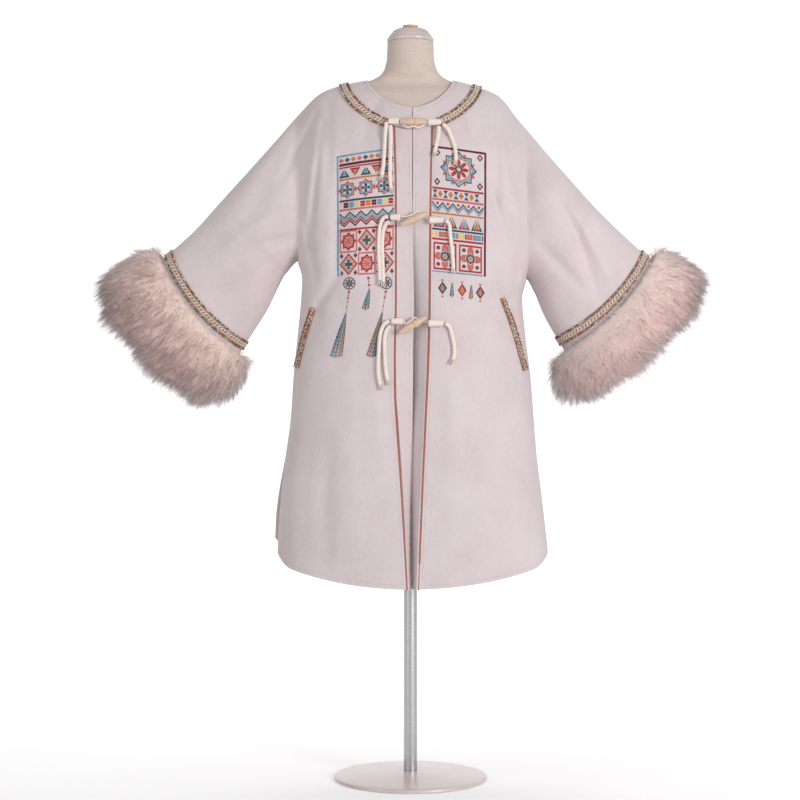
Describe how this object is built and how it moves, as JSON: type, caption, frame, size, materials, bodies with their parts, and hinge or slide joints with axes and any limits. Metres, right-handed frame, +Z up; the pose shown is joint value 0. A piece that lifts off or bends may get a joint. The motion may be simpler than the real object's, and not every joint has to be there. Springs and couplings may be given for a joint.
{
  "type": "long jacket on a dress form",
  "caption": "Long wool jacket with wide fur-cuffed sleeves, round neck and toggle front, on a limbless dress form with a pole and a round foot.",
  "frame": {"origin": "on the floor, at the middle of the foot's underside, under the pole", "axes": "+Z up; the jacket faces -Y; +X is the wearer's left"},
  "size_m": [1.2927, 0.3291, 1.581],
  "materials": {
    "wool": "brushed wool felt, matt, off-white with a faint pink cast",
    "braid": "woven braid with cream chain stitches and small coloured loops at both edges",
    "piping": "twisted brick red cord",
    "fur": "long soft fur, dusty pink with taupe tips",
    "rope": "soft twisted cotton rope, cream",
    "toggle_wood": "pale turned wood, satin",
    "linen": "plain linen cover, beige",
    "lacquer": "pale lacquered turned wood, soft gloss",
    "peg_wood": "brown end-grain wood, satin",
    "steel": "brushed steel tube"
  },
  "bodies": {
    "root": {"neck_border": "wool", "neck_trim": "braid", "front_right": "wool", "front_left": "wool", "back": "wool", "sleeve_right": "wool", "sleeve_trim_right": "braid", "sleeve_left": "wool", "sleeve_trim_left": "braid", "fur_cuff_right": "fur", "fur_cuff_left": "fur", "placket_right": "wool", "piping_right": "piping", "placket_left": "wool", "piping_left": "piping", "pocket_trim_right": "braid", "pocket_trim_left": "braid", "toggle_top": "toggle_wood", "knot_top_right": "rope", "knot_top_left": "rope", "loop_top": "rope", "toggle_middle": "toggle_wood", "knot_middle_right": "rope", "knot_middle_left": "rope", "loop_middle": "rope", "toggle_low": "toggle_wood", "knot_low_right": "rope", "knot_low_left": "rope", "loop_low": "rope", "tail_top_right_1": "rope", "tail_top_right_2": "rope", "tail_top_left_1": "rope", "tail_top_left_2": "rope", "tail_middle_right_1": "rope", "tail_middle_right_2": "rope", "tail_middle_left": "rope", "tail_low_right_1": "rope", "tail_low_right_2": "rope", "tail_low_left": "rope", "form_body": "linen", "neck_cap": "lacquer", "cap_peg": "peg_wood", "pole": "steel", "foot": "lacquer"}
  },
  "joints": []
}
